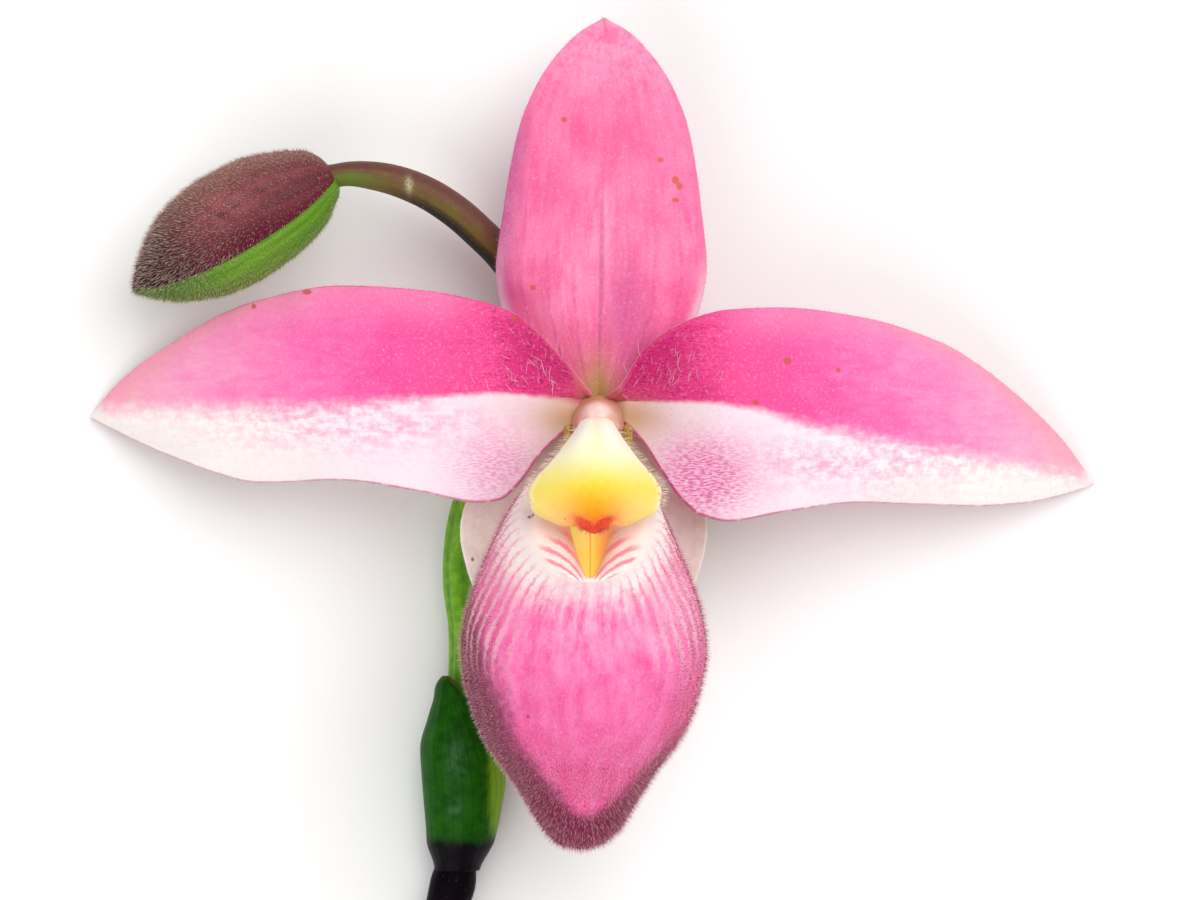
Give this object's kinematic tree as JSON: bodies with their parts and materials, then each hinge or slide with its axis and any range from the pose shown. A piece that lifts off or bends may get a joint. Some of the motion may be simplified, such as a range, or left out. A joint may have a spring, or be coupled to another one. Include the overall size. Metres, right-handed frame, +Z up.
{
  "type": "phragmipedium orchid spray",
  "caption": "Cut spray of a pink slipper orchid, an open flower and a closed bud on a dark stem, lying face up. For a table, still life or plant scene.",
  "frame": {"origin": "on the surface that the spray lies on, under the middle of its bounding box", "axes": "+Z up, the way the open flower faces; +Y from the flower's middle towards the tip of its dorsal sepal, the cut stem runs to -Y; +X to the right of the flower seen from above"},
  "size_m": [0.0828, 0.0951, 0.0272],
  "materials": {
    "petal_rose": "soft satin petal, rose above the midrib and cream below, fine hairs",
    "sepal_rose": "soft satin sepal, rose with darker veins, fuzzy back and margin",
    "synsepal_pale": "soft satin sepal, greyish pink",
    "pouch_rose": "soft satin, rose with darker veins, pale infolded rim, dense short hairs",
    "staminode_yellow": "soft satin, cream to golden orange, hairy margin",
    "column_cream": "soft satin, pinkish cream",
    "stigma_green": "moist, greenish",
    "anther_ochre": "matt, ochre",
    "stem_dark": "satin, dark green to purple black, short hairs",
    "ovary_green": "satin, mid green, ribbed",
    "bract_green": "glossy leaf, dark green",
    "stalk_olive": "satin, olive brown, short hairs",
    "bud_plum": "matt, plum brown, dense pale hairs",
    "bud_green": "matt, green, dense pale hairs"
  },
  "bodies": {
    "root": {"petal_left": "petal_rose", "petal_right": "petal_rose", "dorsal_sepal": "sepal_rose", "synsepal": "synsepal_pale", "pouch": "pouch_rose", "staminode": "staminode_yellow", "column": "column_cream", "stigma": "stigma_green", "anther_left": "anther_ochre", "anther_right": "anther_ochre", "stem": "stem_dark", "ovary": "ovary_green", "bract_lower": "bract_green", "bract_upper": "bract_green", "bud_stalk": "stalk_olive", "bud_dorsal_sepal": "bud_plum", "bud_synsepal": "bud_green"}
  },
  "joints": []
}
